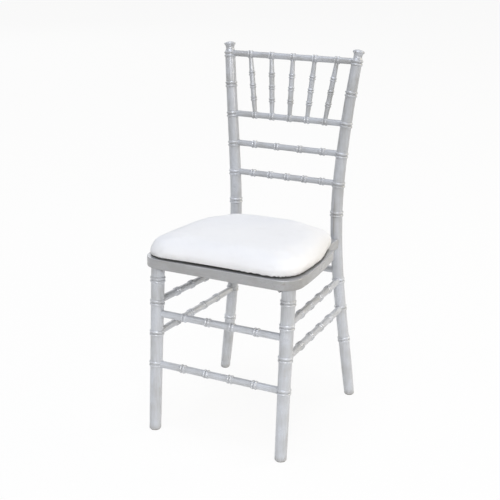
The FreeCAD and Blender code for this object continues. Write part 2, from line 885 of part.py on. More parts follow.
def glide(name, foot, radius):
    """Plastic disc under a foot, with a rounded lower rim."""
    disc = doc.addObject("Part::Cylinder", f"{name}_disc")
    disc.Radius = radius
    bind(disc, Height="sizes.glide_thickness")
    disc.Placement = Placement(Vector(foot.x, foot.y, 0), Rotation())
    doc.recompute()
    rounded = doc.addObject("Part::Fillet", name)
    rounded.Base = disc
    lower_rim = [
        number for number, edge in enumerate(disc.Shape.Edges, start=1)
        if edge.BoundBox.ZMax < size("glide_thickness") / 2 and edge.Closed
    ]
    rounded.Edges = [(number, size("glide_round"), size("glide_round")) for number in lower_rim]
    return rounded


feet = {
    "front": (leg_point(size("glide_thickness")), size("front_leg_foot_diameter") / 2),
    "rear": (post_point(size("glide_thickness")), size("post_foot_diameter") / 2),
}
glides = []
nails = []
nail_holes = []
for end, (foot, foot_radius) in feet.items():
    for hand, point in (("right", foot), ("left", mirrored(foot))):
        nail_start = Vector(point.x, point.y, size("glide_round"))
        nail_length = size("glide_nail_length")
        nail = cylinder(f"{end}_{hand}_nail", nail_start, UP, nail_length, "sizes.glide_nail_diameter / 2")
        hole = cylinder(
            f"{end}_{hand}_nail_hole", nail_start - UP * clearance, UP, nail_length + 2 * clearance,
            "sizes.glide_nail_diameter / 2 + sizes.joint_clearance",
        )
        disc = glide(f"{end}_{hand}_glide", point, foot_radius - size("glide_inset"))
        glides.append(cut(f"{end}_{hand}_glide_bored", disc, [hole]))
        nails.append(nail)
        nail_holes.append(hole)
group("foot_glides", glides)
group("glide_nails", nails)
front_nail_hole = nail_holes[0]
rear_nail_hole = nail_holes[2]

leg_with_tenon = joined("leg_with_tenon", [leg_shaft, leg_tenon])
right_leg = keep(cut("front_leg_right", leg_with_tenon, leg_sockets + [front_nail_hole]))
keep(mirror_piece("front_leg_left", right_leg))


# Brads that lock the side stretchers in the back posts, driven in from outside

def brad(name, tip, direction, extra):
    """Brad with its small flat head, or the hole for it when extra is given."""
    allowance = f" + {extra}"
    length = size("brad_length") - size("brad_head_thickness")
    shank = cylinder(
        f"{name}_shank", tip - direction * extra, direction, length + 2 * extra,
        f"sizes.brad_diameter / 2{allowance}",
    )
    head = cylinder(
        f"{name}_head", tip + direction * (length - extra), direction,
        size("brad_head_thickness") + 2 * extra, f"sizes.brad_head_diameter / 2{allowance}",
    )
    return joined(name, [shank, head])


def brad_pair(level, turning, end, rod_direction):
    """Right brad, the hole for it, and the right and left stretchers bored to match."""
    outward = Vector(rod_direction.y, -rod_direction.x, 0).normalize()
    target = end - rod_direction * (size("socket_depth") / 2)
    from_axis = post_point(target.z) - target
    across = from_axis - outward * from_axis.dot(outward)
    reach = math.sqrt(post_radius(target.z) ** 2 - across.x ** 2 - across.y ** 2) + from_axis.dot(outward)
    tip = target + outward * (reach - size("brad_length"))
    hole = brad(f"{level}_brad_hole", tip, outward, size("joint_clearance"))
    stretcher = keep(cut(f"side_stretcher_{level}_right", turning, [hole]))
    keep(mirror_piece(f"side_stretcher_{level}_left", stretcher))
    pin = brad(f"{level}_brad", tip, outward, 0.0)
    return [pin, mirror_piece(f"{level}_brad_left", pin)], hole


upper_brads, upper_brad_hole = brad_pair("upper", upper_side_turning, upper_side_end, upper_side_direction)
lower_brads, lower_brad_hole = brad_pair("lower", lower_side_turning, lower_side_end, lower_side_direction)
group("stretcher_brads", upper_brads + lower_brads)

right_post = cut(
    "back_post_right", build_post(),
    post_sockets + [post_dowel_holes[0], rear_nail_hole, upper_brad_hole, lower_brad_hole],
)
keep(right_post)
keep(mirror_piece("back_post_left", right_post))


# Seat frame, panel and their fixings

def eased(body, edges_wanted, radius_name):
    """Round the long outer edges of a board."""
    doc.recompute()
    base = body.Tip
    names = [f"Edge{number}" for number, edge in enumerate(base.Shape.Edges, start=1) if edges_wanted(edge)]
    fillet = body.newObject("PartDesign::Fillet", f"{body.Name}_eased")
    fillet.Base = (base, names)
    bind(fillet, Radius=f"sizes.{radius_name}")
    doc.recompute()
    return body


def on_front_rim(edge):
    """True for the upper and lower edges of the front board's visible rim."""
    box = edge.BoundBox
    flat = box.ZLength < 0.01
    joint = box.YMin > board_joint - 0.01
    return flat and not joint


def on_side_rim(edge):
    """True for the upper and lower edges of a side board's bowed rim and shoulder."""
    box = edge.BoundBox
    flat = box.ZLength < 0.01
    outside = box.XMin > size("tail_half_width") - 0.01
    joint = box.YMax < board_joint + 0.01
    return flat and outside and not joint


front_board = seat_body("front_board", front_board_outline(), "sizes.seat_thickness")
eased(front_board, on_front_rim, "seat_edge_round")
side_board = seat_body("side_board", side_board_outline(), "sizes.seat_thickness")
eased(side_board, on_side_rim, "seat_edge_round")
rear_board = seat_body("rear_board", rear_board_outline(), "sizes.seat_thickness")
panel_recess = seat_body("panel_recess", panel_outline(size("panel_clearance")), "sizes.panel_thickness")
panel = seat_body("panel", panel_outline(0.0), "sizes.panel_thickness")


def post_cope():
    """Cutter for the hollow that the right back post passes through, with its clearance."""
    low = post_seat_height - 3 * size("seat_thickness")
    high = post_seat_height + size("seat_thickness")
    ends = [
        post_section(post_point(height), post_direction(height), post_radius(height) + size("joint_clearance"))
        for height in (low, high)
    ]
    return post_stretch(ends[0], ends[1], low, high, size("joint_clearance"))


def panel_screw_places():
    """Screw positions on the ledge around the panel."""
    half_ledge = size("panel_ledge") / 2
    places = []
    for depth in (board_joint + size("side_board_width"), rear_board_front - size("rear_board_width")):
        for side in (-1, 1):
            places.append((side * (inner_edge(depth) + half_ledge), depth))
    for across in (-inner_front / 2, inner_front / 2):
        places.append((across, board_joint - half_ledge))
        places.append((across, rear_board_front + half_ledge))
    return places


def panel_screw(name, place, extra):
    """Countersunk screw through the panel, or the hole for it when extra is given."""
    allowance = f" + {extra}"
    down = seat_place.Rotation.multVec(-UP)
    top = seat_point(place[0], place[1], 0)
    head_height = (size("screw_head_diameter") - size("screw_shank_diameter")) / 2
    head = cone(f"{name}_head", top, down, head_height,
                f"sizes.screw_head_diameter / 2{allowance}", f"sizes.screw_shank_diameter / 2{allowance}")
    shank = cylinder(f"{name}_shank", top, down, size("screw_length") + extra,
                     f"sizes.screw_shank_diameter / 2{allowance}")
    return joined(name, [head, shank])


screw_places = panel_screw_places()
group("panel_screws", [panel_screw("panel_screw", place, 0.0) for place in screw_places])
screw_holes = [panel_screw("panel_screw_hole", place, clearance) for place in screw_places]

side_dowel_holes = [hole for hole in dowel_holes if hole.Placement.Base.x > 0]
keep(cut("seat_front_board", front_board, [panel_recess] + tenon_holes + dowel_holes + screw_holes))
right_side = keep(cut(
    "seat_side_board_right", side_board,
    [panel_recess, post_cope(), post_dowel_holes[0]] + side_dowel_holes + screw_holes,
))
keep(mirror_piece("seat_side_board_left", right_side))
keep(cut("seat_rear_board", rear_board, [panel_recess] + dowel_holes + screw_holes))
keep(cut("seat_panel", panel, screw_holes))


# Glue blocks: small wedges in the corner between each front leg and the seat frame

def glue_block():
    """Wedge against the inner side of the right front leg, under the front board."""
    leg_side = tenon_foot.x - leg_radius(size("leg_ring_top_height")) - clearance
    top = -size("seat_thickness")
    body = doc.addObject("PartDesign::Body", "glue_block")
    sketch = body.newObject("Sketcher::SketchObject", "glue_block_outline")
    plane = [item for item in body.Origin.OriginFeatures if item.Role == "XZ_Plane"][0]
    sketch.AttachmentSupport = [(plane, "")]
    sketch.MapMode = "FlatFace"
    corners = [
        (leg_side, top), (leg_side - size("glue_block_width"), top),
        (leg_side - size("glue_block_foot_width"), top - size("glue_block_height")),
        (leg_side, top - size("glue_block_height")),
    ]
    closed = corners + corners[:1]
    sketch.addGeometry([line(first, second) for first, second in zip(closed, closed[1:])], False)
    doc.recompute()
    pad = body.newObject("PartDesign::Pad", "glue_block_pad")
    pad.Profile = sketch
    pad.Reversed = True
    bind(pad, Length="sizes.glue_block_length")
    leg_depth = seat_depth_of(tenon_foot.y)
    shift = Placement(Vector(0, leg_depth - size("glue_block_length") / 2, 0), Rotation())
    body.Placement = seat_place.multiply(shift)
    doc.recompute()
    return body


right_block = glue_block()
right_block.Label = "glue_block_right"
nodes["glue_block_right"] = right_block
keep(mirror_piece("glue_block_left", right_block))


# Hook and loop tape between the seat panel and the cushion

def tape_pair(name, above):
    """Two strips of tape, left and right, at a height over the seat."""
    strips = []
    middle = (board_joint + rear_board_front) / 2
    for side in (-1, 1):
        strip = doc.addObject("Part::Box", f"{name}_strip")
        bind(strip, Length="sizes.tape_width", Width="sizes.tape_length", Height="sizes.tape_thickness")
        left = side * size("tape_half_spacing") - size("tape_width") / 2
        corner_place = Vector(left, middle - size("tape_length") / 2, above)
        strip.Placement = seat_place.multiply(Placement(corner_place, Rotation()))
        strips.append(strip)
    return group(name, strips)


tape_pair("seat_hook_tape", 0.0)
cushion_base = 2 * size("tape_thickness") + size("tape_gap")
tape_pair("cushion_loop_tape", size("tape_thickness") + size("tape_gap"))


# Cushion: base board, foam with a domed crown, and a stretch cover open at its lower edge

cushion_front = size("cushion_front_margin")
cushion_rear = seat_rear - size("cushion_rear_margin")
cushion_middle = (cushion_front + cushion_rear) / 2


def cushion_outline(inset):
    """Cushion outline: round front corners, bowed sides and smaller rear corners."""
    half = size("cushion_half_width") - inset
    rear_half = size("cushion_rear_half_width") - inset
    front = cushion_front + inset
    front_radius = size("cushion_front_corner_radius") - inset
    rear_radius = size("cushion_rear_corner_radius") - inset
    side_start = front + front_radius
    bow_start = side_start + size("cushion_straight_length")
    bow_end = cushion_rear - inset - rear_radius
    run = bow_end - bow_start
    drop = half - rear_half
    bow_radius = (run * run + drop * drop) / (2 * drop)
    turn = math.asin(run / bow_radius)
    bow_middle = (
        half - bow_radius * (1 - math.cos(turn / 2)),
        bow_start + bow_radius * math.sin(turn / 2),
    )
    end_angle = math.degrees(turn)
    front_centre = (half - front_radius, side_start)
    rear_centre = (rear_half - rear_radius * math.cos(turn), bow_end - rear_radius * math.sin(turn))
    rear_edge = rear_centre[1] + rear_radius
    return [
        line((-front_centre[0], front), (front_centre[0], front)),
        corner_arc(front_centre, front_radius, -90, 0),
        line((half, side_start), (half, bow_start)),
        arc((half, bow_start), bow_middle, (rear_half, bow_end)),
        corner_arc(rear_centre, rear_radius, end_angle, 90),
        line((rear_centre[0], rear_edge), (-rear_centre[0], rear_edge)),
        corner_arc(turned(rear_centre), rear_radius, 90, 180 - end_angle),
        arc((-rear_half, bow_end), turned(bow_middle), (-half, bow_start)),
        line((-half, bow_start), (-half, side_start)),
        corner_arc(turned(front_centre), front_radius, 180, 270),
    ]


board_low = cushion_base + size("dust_cloth_thickness")
board_top = board_low + size("board_thickness")
cover_low = board_low + size("cover_lift")


def crowned(name, inset, low):
    """Pad with the cushion's outline, a shallow domed top and round shoulders."""
    column = seat_body(
        f"{name}_column", cushion_outline(inset), "sizes.cushion_crown_height", above=low, upward=True,
    )
    dome = doc.addObject("Part::Sphere", f"{name}_dome")
    dome_centre = Vector(0, cushion_middle, size("cushion_crown_height") - size("cushion_crown_radius"))
    seam_down = Rotation(BACK, 90)
    bind(dome, Radius=f"sizes.cushion_crown_radius - {inset}")
    dome.Placement = seat_place.multiply(Placement(dome_centre, seam_down))
    block = doc.addObject("Part::Common", f"{name}_block")
    block.Base = column
    block.Tool = dome
    doc.recompute()
    to_seat = seat_place.inverse()
    half_height = size("cushion_crown_height") / 2
    shoulder = [
        number for number, edge in enumerate(block.Shape.Edges, start=1)
        if min(to_seat.multVec(vertex.Point).z for vertex in edge.Vertexes) > half_height
    ]
    rounded = doc.addObject("Part::Fillet", name)
    rounded.Base = block
    radius = size("cushion_shoulder_round") - inset
    rounded.Edges = [(number, radius, radius) for number in shoulder]
    doc.recompute()
    return rounded


cover_inset = size("cover_thickness")
board_inset = cover_inset + size("board_clearance")
cover_outside = crowned("cover_outside", 0.0, cover_low)
cover_inside = crowned("cover_inside", cover_inset, cover_low)
keep(cut("cushion_cover", cover_outside, [cover_inside]))
keep(crowned("cushion_foam", cover_inset, board_top))
keep(seat_body(
    "cushion_board", cushion_outline(board_inset), "sizes.board_thickness", above=board_low, upward=True,
))
keep(seat_body(
    "cushion_dust_cloth", cushion_outline(size("dust_cloth_inset")), "sizes.dust_cloth_thickness",
    above=board_low - size("dust_cloth_thickness"), upward=True,
))


# Check every object, then write one file for each sub-part

doc.recompute()
failed = [item.Name for item in doc.Objects if "Invalid" in item.State or "Error" in item.State]
for name, item in nodes.items():
    if item.Shape.isNull() or not item.Shape.isValid() or not item.Shape.Solids:
        failed.append(name)
if failed:
    raise RuntimeError(f"failed objects: {failed}")
os.makedirs("parts", exist_ok=True)
for name, item in nodes.items():
    item.Shape.exportStep(f"parts/{name}.step")
    print(name, len(item.Shape.Solids), round(item.Shape.Volume, 1))
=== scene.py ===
import math

import bmesh
import bpy
from mathutils import Matrix, Vector
from mathutils.bvhtree import BVHTree


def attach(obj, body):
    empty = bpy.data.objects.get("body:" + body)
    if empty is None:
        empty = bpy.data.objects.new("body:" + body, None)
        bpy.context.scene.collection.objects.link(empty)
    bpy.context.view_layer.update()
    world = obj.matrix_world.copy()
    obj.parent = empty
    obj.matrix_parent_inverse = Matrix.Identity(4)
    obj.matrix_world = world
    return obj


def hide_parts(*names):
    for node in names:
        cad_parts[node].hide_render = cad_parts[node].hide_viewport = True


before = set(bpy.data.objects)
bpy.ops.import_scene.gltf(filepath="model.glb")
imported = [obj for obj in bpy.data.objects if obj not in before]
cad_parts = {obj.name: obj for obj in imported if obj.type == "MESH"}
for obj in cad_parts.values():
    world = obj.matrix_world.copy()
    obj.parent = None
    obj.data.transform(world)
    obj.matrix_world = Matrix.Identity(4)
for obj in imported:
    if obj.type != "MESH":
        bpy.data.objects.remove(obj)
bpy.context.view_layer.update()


# Turned frame: two front legs, two bent back posts, rails, spindles and stretchers, all
# of beech, turned with double rings, glued and sprayed with aluminium paint. The paint
# has faint streaks along each member, scuffs and chips, and dirt and painted shade in
# its grooves.

class Value:
    """A socket of a finish, so that sums written with it add Math nodes."""

    def __init__(self, finish, socket):
        self.finish = finish
        self.socket = socket

    def __add__(self, other):
        return self.finish.maths("ADD", self, other)

    def __radd__(self, other):
        return self.finish.maths("ADD", other, self)

    def __sub__(self, other):
        return self.finish.maths("SUBTRACT", self, other)

    def __rsub__(self, other):
        return self.finish.maths("SUBTRACT", other, self)

    def __mul__(self, other):
        return self.finish.maths("MULTIPLY", self, other)

    def __rmul__(self, other):
        return self.finish.maths("MULTIPLY", other, self)

    def between(self, low, high):
        """0 at low, 1 at high and smooth in between, whichever of the two is larger."""
        sockets = {"Value": self, "From Min": low, "From Max": high}
        return self.finish.node("ShaderNodeMapRange", {"interpolation_type": "SMOOTHSTEP"}, sockets)


class Finish:
    """A material built from its pieces' own coordinates."""

    def __init__(self, name):
        self.material = bpy.data.materials.new(name)
        self.material.use_nodes = True
        self.tree = self.material.node_tree
        self.shader = self.tree.nodes["Principled BSDF"]
        self.place = self.node("ShaderNodeTexCoord", output="Object")

    def node(self, kind, settings=None, sockets=None, output=0):
        """Add a node with its settings and the values or links of its sockets."""
        added = self.tree.nodes.new(kind)
        for key, setting in (settings or {}).items():
            setattr(added, key, setting)
        for key, value in (sockets or {}).items():
            self.feed(added.inputs[key], value)
        return Value(self, added.outputs[output])

    def feed(self, socket, value):
        """Link a value to a socket, or set the socket to a plain number or colour."""
        if isinstance(value, Value):
            self.tree.links.new(value.socket, socket)
        else:
            socket.default_value = value

    def maths(self, operation, first, second):
        """A Math node on two values."""
        return self.node("ShaderNodeMath", {"operation": operation}, {0: first, 1: second})

    def blend(self, share, first, second):
        """A colour that goes from the first to the second with share."""
        # Sockets 6 and 7 are the colours A and B, and 2 is their result, because the node
        # has sockets of the same names for plain numbers.
        sockets = {"Factor": share, 6: first, 7: second}
        return self.node("ShaderNodeMix", {"data_type": "RGBA"}, sockets, output=2)

    def cloud(self, size, stretch=(1, 1, 1), detail=2.0, shift=0.0):
        """Noise in patches of a size in metres, longer where stretch is larger."""
        scale = tuple(1 / (size * length) for length in stretch)
        place = self.node(
            "ShaderNodeMapping", {"vector_type": "POINT"},
            {"Vector": self.place, "Location": (shift, shift, shift), "Scale": scale},
        )
        sockets = {"Vector": place, "Scale": 1.0, "Detail": detail}
        return self.node("ShaderNodeTexNoise", {}, sockets)

    def relief(self, height, distance):
        """Bump that feeds the shader's normal, with its depth in metres as the distance."""
        sockets = {"Height": height, "Distance": distance, "Strength": 1.0}
        self.feed(self.shader.inputs["Normal"], self.node("ShaderNodeBump", {}, sockets))

    def wear(self, **sockets):
        """Feed or set the shader's sockets, named in lower case with underscores."""
        for name, value in sockets.items():
            self.feed(self.shader.inputs[name.replace("_", " ").title()], value)


# Painted shade: the paint is made bright on the legs and fades to a duller grey up the back, over
# these heights, as the floor's light falls off higher up.
LEG_SILVER = (0.595, 0.62, 0.67, 1)
LEG_DULL = (0.455, 0.462, 0.47, 1)
BACK_SILVER = (0.45, 0.468, 0.505, 1)
BACK_DULL = (0.325, 0.327, 0.325, 1)
FADE_START = 0.10
FADE_END = 0.85
FULL_SHADE = (1, 1, 1)

# The marks on it: their colours, the values between which they come in, and how much they cover.
MOTTLE_RANGE = (0.35, 0.7)
MOTTLE_SHARE = 0.55
STREAK_RANGE = (0.35, 0.75)
STREAK_SHARE = 0.35
SCUFF_GREY = (0.27, 0.255, 0.23, 1)
SCUFF_RANGE = (0.66, 0.74)
SCUFF_SHARE = 0.55
BARE_BEECH = (0.36, 0.28, 0.19, 1)
CHIP_RANGE = (0.735, 0.765)
FLOOR_GRIME = (0.33, 0.32, 0.30, 1)
GRIME_HEIGHT = 0.018
GRIME_UNEVEN = 0.02
GRIME_SHARE = 0.6
GROOVE_DIRT_AND_SHADE = (0.17, 0.165, 0.15, 1)
GROOVE_REACH = 0.005
GROOVE_RANGE = (0.85, 0.35)
GROOVE_SHARE = 0.75

# Streaks are this many times longer along a member than across it.
ALONG = 30
ALONG_X = (ALONG, 1, 1)
ALONG_Y = (1, ALONG, 1)
ALONG_Z = (1, 1, ALONG)


def shaded(colour, shade):
    """A colour with each channel made darker by its own share."""
    return (*(channel * share for channel, share in zip(colour, shade)), 1)


def silver_paint(name, stretch, shade=FULL_SHADE):
    """Aluminium paint streaked along a member, with scuffs, chips, floor grime, dirt and painted
    shade in its grooves, and painted shade up the back.
    """
    paint = Finish(name)
    mottle = paint.cloud(size=0.045, detail=4.0)
    streak = paint.cloud(size=0.0035, stretch=stretch, detail=3.0, shift=2.0)
    fleck = paint.cloud(size=0.0011, detail=1.0, shift=5.0)
    rubbed = paint.cloud(size=0.011, stretch=stretch, detail=5.0, shift=9.0)
    scuff = rubbed.between(*SCUFF_RANGE)
    chip = paint.cloud(size=0.006, detail=3.0, shift=14.0).between(*CHIP_RANGE)
    height = paint.node("ShaderNodeSeparateXYZ", {}, {"Vector": paint.place}, output="Z")
    grime = (height + GRIME_UNEVEN * mottle - GRIME_UNEVEN / 2).between(GRIME_HEIGHT, 0.0)
    patchy = mottle.between(*MOTTLE_RANGE) * MOTTLE_SHARE
    dullness = patchy + streak.between(*STREAK_RANGE) * STREAK_SHARE
    # Painted shade: the colour darkens with height, from the legs' silver to the back's duller
    # grey.
    height_shade = height.between(FADE_START, FADE_END)
    bright = paint.blend(height_shade, shaded(LEG_SILVER, shade), shaded(BACK_SILVER, shade))
    dull = paint.blend(height_shade, shaded(LEG_DULL, shade), shaded(BACK_DULL, shade))
    colour = paint.blend(dullness, bright, dull)
    colour = paint.blend(scuff * SCUFF_SHARE, colour, SCUFF_GREY)
    colour = paint.blend(chip, colour, BARE_BEECH)
    colour = paint.blend(grime * GRIME_SHARE, colour, FLOOR_GRIME)
    # Dirt and painted shade in the grooves: the colour darkens where ambient occlusion finds a
    # hollow within the reach.
    openness = paint.node(
        "ShaderNodeAmbientOcclusion", {"samples": 8, "only_local": True},
        {"Distance": GROOVE_REACH}, output="AO",
    )
    colour = paint.blend(openness.between(*GROOVE_RANGE) * GROOVE_SHARE, colour, GROOVE_DIRT_AND_SHADE)
    bare = paint.maths("MAXIMUM", chip, grime * 0.5)
    paint.wear(
        base_color=colour,
        metallic=0.17 - 0.15 * bare,
        roughness=0.20 + 0.10 * mottle + 0.08 * fleck + 0.25 * scuff,
        coat_weight=0.35 - 0.3 * scuff,
        coat_roughness=0.17,
    )
    paint.relief(streak * 0.6 + mottle * 0.5 + fleck * 0.15 - chip * 0.8, distance=0.00025)
    return paint.material


def coat(nodes, material):
    """Give CAD nodes a material on all of their faces."""
    for name in nodes:
        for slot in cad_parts[name].material_slots:
            slot.material = material


coat(
    [
        "front_leg_left", "front_leg_right", "back_post_left", "back_post_right",
        "spindle_1", "spindle_2", "spindle_3", "spindle_4", "spindle_5",
    ],
    silver_paint("silver_paint_upright", ALONG_Z),
)
coat(
    [
        "crest_rail", "spindle_rail", "back_rail_upper", "back_rail_lower",
        "front_stretcher_upper", "front_stretcher_lower", "rear_stretcher",
    ],
    silver_paint("silver_paint_cross", ALONG_X),
)
coat(
    [
        "side_stretcher_upper_left", "side_stretcher_upper_right",
        "side_stretcher_lower_left", "side_stretcher_lower_right",
    ],
    silver_paint("silver_paint_side", ALONG_Y),
)


# Seat frame: front, rear and side boards of beech dowelled at the corners, a plywood panel
# let into their top, and a glue block beside each front leg. They are sprayed with the
# turned frame, and their paint colour is made darker and a little warmer, a painted shade
# for their flat faces, which lie darker in this light than the round ones.

BOARD_PAINTED_SHADE = (0.73, 0.71, 0.68)

coat(
    ["seat_front_board", "seat_rear_board", "seat_panel"],
    silver_paint("silver_board_cross", ALONG_X, BOARD_PAINTED_SHADE),
)
coat(
    ["seat_side_board_left", "seat_side_board_right", "glue_block_left", "glue_block_right"],
    silver_paint("silver_board_side", ALONG_Y, BOARD_PAINTED_SHADE),
)


# Fixings: bare beech dowels in the seat frame's joints, zinc plated screws, brads and
# nails, and a grey plastic glide nailed under each foot.

PALE_BEECH = (0.62, 0.44, 0.27, 1)
DARK_BEECH = (0.46, 0.31, 0.18, 1)
FRESH_ZINC = (0.62, 0.62, 0.63, 1)
DULL_ZINC = (0.42, 0.42, 0.44, 1)
GLIDE_GREY = (0.16, 0.155, 0.15, 1)
GLIDE_SCRATCHED = (0.24, 0.235, 0.225, 1)

beech = Finish("bare_beech")
grain = beech.cloud(size=0.002, stretch=(1, 20, 1), detail=3.0)
beech.wear(
    base_color=beech.blend(grain, PALE_BEECH, DARK_BEECH),
    roughness=0.65 + 0.1 * grain,
)
beech.relief(grain, distance=0.0001)
coat(["seat_dowels", "post_dowels"], beech.material)

zinc = Finish("zinc_plate")
dulling = zinc.cloud(size=0.002, detail=3.0)
zinc.wear(
    base_color=zinc.blend(dulling, FRESH_ZINC, DULL_ZINC),
    metallic=1.0,
    roughness=0.3 + 0.25 * dulling,
)
coat(["panel_screws", "stretcher_brads", "glide_nails"], zinc.material)

glide = Finish("glide_plastic")
scratch = glide.cloud(size=0.0015, detail=4.0)
glide.wear(
    base_color=glide.blend(scratch, GLIDE_GREY, GLIDE_SCRATCHED),
    roughness=0.45 + 0.2 * scratch,
)
glide.relief(scratch, distance=0.0001)
coat(["foot_glides"], glide.material)


# Hook and loop tape: two black nylon strips glued to the seat panel and two under the
# cushion board, which keep the loose cushion from sliding. Each strip is woven, with a
# lower bound edge all round its pile and its corners cut square.

SEAT_FRONT = (0, -0.2101, 0.453)
SEAT_SLOPE = math.radians(-1.72)
SEAT_PLACE = Matrix.Translation(SEAT_FRONT) @ Matrix.Rotation(SEAT_SLOPE, 4, "X")
SAME_POINT = 1e-6
SELVEDGE = 0.0022
PILE_DROP = 0.0004
WORN_EDGE = 0.0002
TAPE_BLACK = (0.012, 0.012, 0.013, 1)
TAPE_GREY = (0.05, 0.05, 0.052, 1)


def node_form(node, merge=SAME_POINT):
    """A CAD node's mesh as a bmesh in the seat's own axes, with its doubles merged."""
    form = bmesh.new()
    form.from_mesh(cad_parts[node].data)
    bmesh.ops.remove_doubles(form, verts=form.verts, dist=merge)
    bmesh.ops.transform(form, matrix=SEAT_PLACE.inverted(), verts=form.verts)
    return form


def side_boxes(node):
    """Lowest and highest corner of a CAD node's part on each side, in the seat's axes."""
    form = node_form(node)
    boxes = []
    for side in (-1, 1):
        corners = [vert.co for vert in form.verts if vert.co.x * side > 0]
        low = Vector(min(corner[axis] for corner in corners) for axis in range(3))
        high = Vector(max(corner[axis] for corner in corners) for axis in range(3))
        boxes.append((low, high))
    form.free()
    return boxes


def new_piece(name, form, material):
    """An object made of a bmesh, in place, with its material."""
    mesh = bpy.data.meshes.new(name)
    form.to_mesh(mesh)
    form.free()
    piece = bpy.data.objects.new(name, mesh)
    bpy.context.scene.collection.objects.link(piece)
    mesh.materials.append(material)
    return piece


def tape_strips(name, node, pile_side):
    """Both strips of a tape, with the pile standing a little above their edges."""
    outward = (SEAT_PLACE.to_3x3() @ Vector((0, 0, pile_side))).normalized()
    form = bmesh.new()
    for low, high in side_boxes(node):
        size = Matrix.Diagonal((*(high - low), 1))
        place = SEAT_PLACE @ Matrix.Translation((low + high) / 2) @ size
        made = bmesh.ops.create_cube(form, size=1.0, matrix=place)
        faces = {face for vert in made["verts"] for face in vert.link_faces}
        pile_face = max(faces, key=lambda face: face.normal.dot(outward))
        bmesh.ops.inset_region(form, faces=[pile_face], thickness=SELVEDGE)
        rim = [face for face in form.faces if face not in faces and face is not pile_face]
        rim_edges = {edge for face in rim for edge in face.edges}
        outer = {vert for edge in rim_edges for vert in edge.verts if vert not in pile_face.verts}
        bmesh.ops.translate(form, verts=list(outer), vec=outward * -PILE_DROP)
    bmesh.ops.bevel(
        form, geom=form.edges[:], offset=WORN_EDGE, offset_type="OFFSET", segments=2,
        profile=0.5, affect="EDGES", material=-1,
    )
    return new_piece(name, form, tape.material)


tape = Finish("hook_and_loop_tape")
pile = tape.cloud(size=0.0006, detail=1.0)
tuft = tape.cloud(size=0.004, detail=3.0, shift=4.0)
tape.wear(
    base_color=tape.blend(pile, TAPE_BLACK, TAPE_GREY),
    roughness=0.8 + 0.1 * pile + 0.1 * tuft,
)
tape.relief(pile + tuft, distance=0.0005)
hook_tape = tape_strips("seat_hook_strips", "seat_hook_tape", 1)
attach(hook_tape, "chair")
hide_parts("seat_hook_tape")
loop_tape = tape_strips("cushion_loop_strips", "cushion_loop_tape", -1)
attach(loop_tape, "cushion")
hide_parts("cushion_loop_tape")


# Cushion base: a plywood board painted black, with a thin black felt cloth pulled flat
# under it and glued. The felt is pressed fibre, so it has no weave, only a light crease.

BOARD_BLACK = (0.010, 0.010, 0.011, 1)
BOARD_BRUSHED = (0.03, 0.03, 0.032, 1)
BOARD_GLOSS = 0.12
FELT_BLACK = (0.015, 0.015, 0.016, 1)
FELT_GREY = (0.045, 0.045, 0.047, 1)
CLOTH_THICKNESS = 0.0005
CLOTH_CUT = 0.0002
EDGE_TILT = 0.5

board = Finish("black_board")
brush = board.cloud(size=0.003, stretch=(20, 1, 1), detail=3.0)
board.wear(
    base_color=board.blend(brush, BOARD_BLACK, BOARD_BRUSHED),
    roughness=0.6 + 0.2 * brush,
)
board.feed(board.shader.inputs["Specular IOR Level"], BOARD_GLOSS)
board.relief(brush, distance=0.0001)
coat(["cushion_board"], board.material)

felt = Finish("dust_cloth_felt")
fibre = felt.cloud(size=0.0009, stretch=(1, 6, 1), detail=3.0)
crease = felt.cloud(size=0.05, stretch=(1, 3, 1), detail=2.0, shift=7.0)
felt.wear(
    base_color=felt.blend(fibre, FELT_BLACK, FELT_GREY),
    roughness=0.88 + 0.08 * fibre,
)
felt.relief(fibre * 0.3 + crease, distance=0.0009)

# The sheet is the underside of the CAD cloth, cut free just above and moved up to the board.
cloth_form = node_form("cushion_dust_cloth")
cloth_low = min(vert.co.z for vert in cloth_form.verts)
cloth_high = max(vert.co.z for vert in cloth_form.verts)
bmesh.ops.bisect_plane(
    cloth_form, geom=cloth_form.verts[:] + cloth_form.edges[:] + cloth_form.faces[:],
    plane_co=(0, 0, cloth_low + CLOTH_CUT), plane_no=(0, 0, 1), clear_outer=True,
)
cloth_edge = [face for face in cloth_form.faces if abs(face.normal.z) < EDGE_TILT]
bmesh.ops.delete(cloth_form, geom=cloth_edge, context="FACES")
bmesh.ops.dissolve_limit(
    cloth_form, angle_limit=math.radians(1), verts=cloth_form.verts[:], edges=cloth_form.edges[:],
)
cloth_area = sum(face.calc_area() for face in cloth_form.faces)
cloth_rise = Vector((0, 0, cloth_high - CLOTH_THICKNESS - cloth_low))
bmesh.ops.translate(cloth_form, verts=cloth_form.verts, vec=cloth_rise)
bmesh.ops.transform(cloth_form, matrix=SEAT_PLACE, verts=cloth_form.verts)
dust_cloth = new_piece("dust_cloth", cloth_form, felt.material)
sheet_body = dust_cloth.modifiers.new("felt_thickness", "SOLIDIFY")
sheet_body.thickness = CLOTH_THICKNESS
sheet_body.offset = -1.0
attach(dust_cloth, "cushion")
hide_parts("cushion_dust_cloth")


# Cushion: a foam pad glued to the board under a white stretch cover. The cover is pulled
# down over the board's edge, where its hem is gathered in fine folds at the corners.

COVER_WHITE = (0.86, 0.865, 0.88, 1)
COVER_SOILED = (0.80, 0.80, 0.80, 1)
SOILING_SHARE = 0.25
FOAM_MERGE = 1e-5
NEARLY_LEVEL = 0.0001
PAD_VOXEL = 0.005
SWELL_STEPS = 20
SWELL_LIMIT = 0.004

